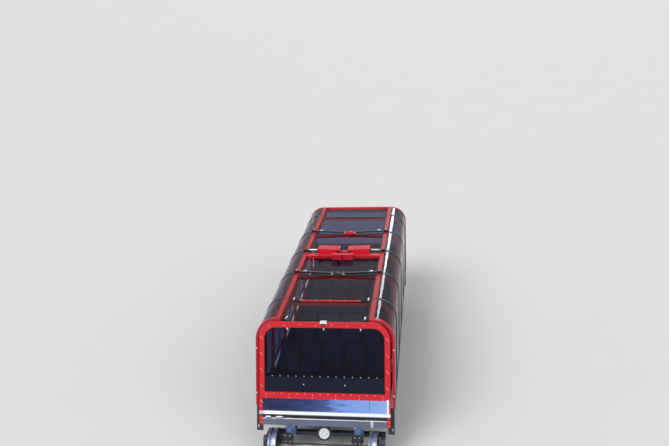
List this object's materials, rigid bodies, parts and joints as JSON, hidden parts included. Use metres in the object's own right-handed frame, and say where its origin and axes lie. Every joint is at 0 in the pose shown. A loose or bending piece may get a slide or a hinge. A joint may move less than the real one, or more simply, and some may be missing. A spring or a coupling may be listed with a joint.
{
  "type": "funicular car",
  "caption": "Glazed funicular car with raked ends, stepped seat rows, two long gull-wing leaves and two double-flanged wheelsets.",
  "frame": {"origin": "on the floor under the middle of the car, at the level of the wheel flanges", "axes": "+Y uphill along the track, +X to the right seen from the downhill end, +Z square to the rails"},
  "size_m": [2.45, 7.3087, 2.4286],
  "materials": {
    "red_paint": "gloss",
    "black_paint": "satin",
    "blue_grey_paint": "satin",
    "tinted_glass": "polished",
    "dark_panel": "gloss",
    "polished_steel": "polished",
    "stainless_steel": "brushed",
    "galvanised_steel": "matt",
    "axle_steel": "satin",
    "wheel_steel": "worn",
    "floor_rubber": "matt",
    "seat_plastic": "matt",
    "white_plastic": "gloss",
    "lamp_glass": "polished"
  },
  "bodies": {
    "root": {"end_rings": "red_paint", "end_frames": "black_paint", "end_windows": "tinted_glass", "end_panels": "dark_panel", "crossbars": "black_paint", "valances": "polished_steel", "bumpers": "galvanised_steel", "cant_rails": "red_paint", "roof_beams": "red_paint", "roof_glass": "tinted_glass", "roof_battens": "red_paint", "side_hoops": "red_paint", "side_sills": "black_paint", "side_skirts": "dark_panel", "side_posts": "galvanised_steel", "hinge_brackets": "red_paint", "hinge_pins": "stainless_steel", "drive_beam": "red_paint", "drive_boxes": "red_paint", "sensor_box": "white_plastic", "floor_trays": "floor_rubber", "seat_rows": "seat_plastic", "seat_brackets": "black_paint", "chassis_beams": "galvanised_steel", "cross_members": "galvanised_steel", "floor_saddles": "galvanised_steel", "knee_brackets": "galvanised_steel", "hangers": "blue_grey_paint", "buffers": "black_paint", "headlamp_housing": "black_paint", "headlamp_lens": "lamp_glass", "drawbar": "galvanised_steel", "carriers": "blue_grey_paint"},
    "door_left": {"leaf_frame_left": "red_paint", "leaf_ribs_left": "black_paint", "leaf_glass_left": "tinted_glass", "leaf_arms_left": "black_paint", "drive_cover_left": "red_paint", "drive_tube_left": "stainless_steel"},
    "door_right": {"leaf_frame_right": "red_paint", "leaf_ribs_right": "black_paint", "leaf_glass_right": "tinted_glass", "leaf_arms_right": "black_paint", "drive_cover_right": "red_paint", "drive_tube_right": "stainless_steel"},
    "wheelset_front": {"axle_front": "axle_steel", "wheels_front": "wheel_steel"},
    "wheelset_rear": {"axle_rear": "axle_steel", "wheels_rear": "wheel_steel"}
  },
  "joints": [
    {"name": "door_left_swing", "type": "hinge", "parent": "root", "child": "door_left", "pos_m": [-0.11, 0.63336, 2.32083], "axis": [0, 1, 0], "range_deg": [0, 55]},
    {"name": "door_right_swing", "type": "hinge", "parent": "root", "child": "door_right", "pos_m": [0.11, 0.63336, 2.32083], "axis": [0, -1, 0], "range_deg": [0, 55]},
    {"name": "wheelset_front_roll", "type": "hinge", "parent": "root", "child": "wheelset_front", "pos_m": [0, -3.35436, 0.3], "axis": [1, 0, 0], "continuous": true},
    {"name": "wheelset_rear_roll", "type": "hinge", "parent": "root", "child": "wheelset_rear", "pos_m": [0, 2.71064, 0.3], "axis": [1, 0, 0], "continuous": true}
  ]
}
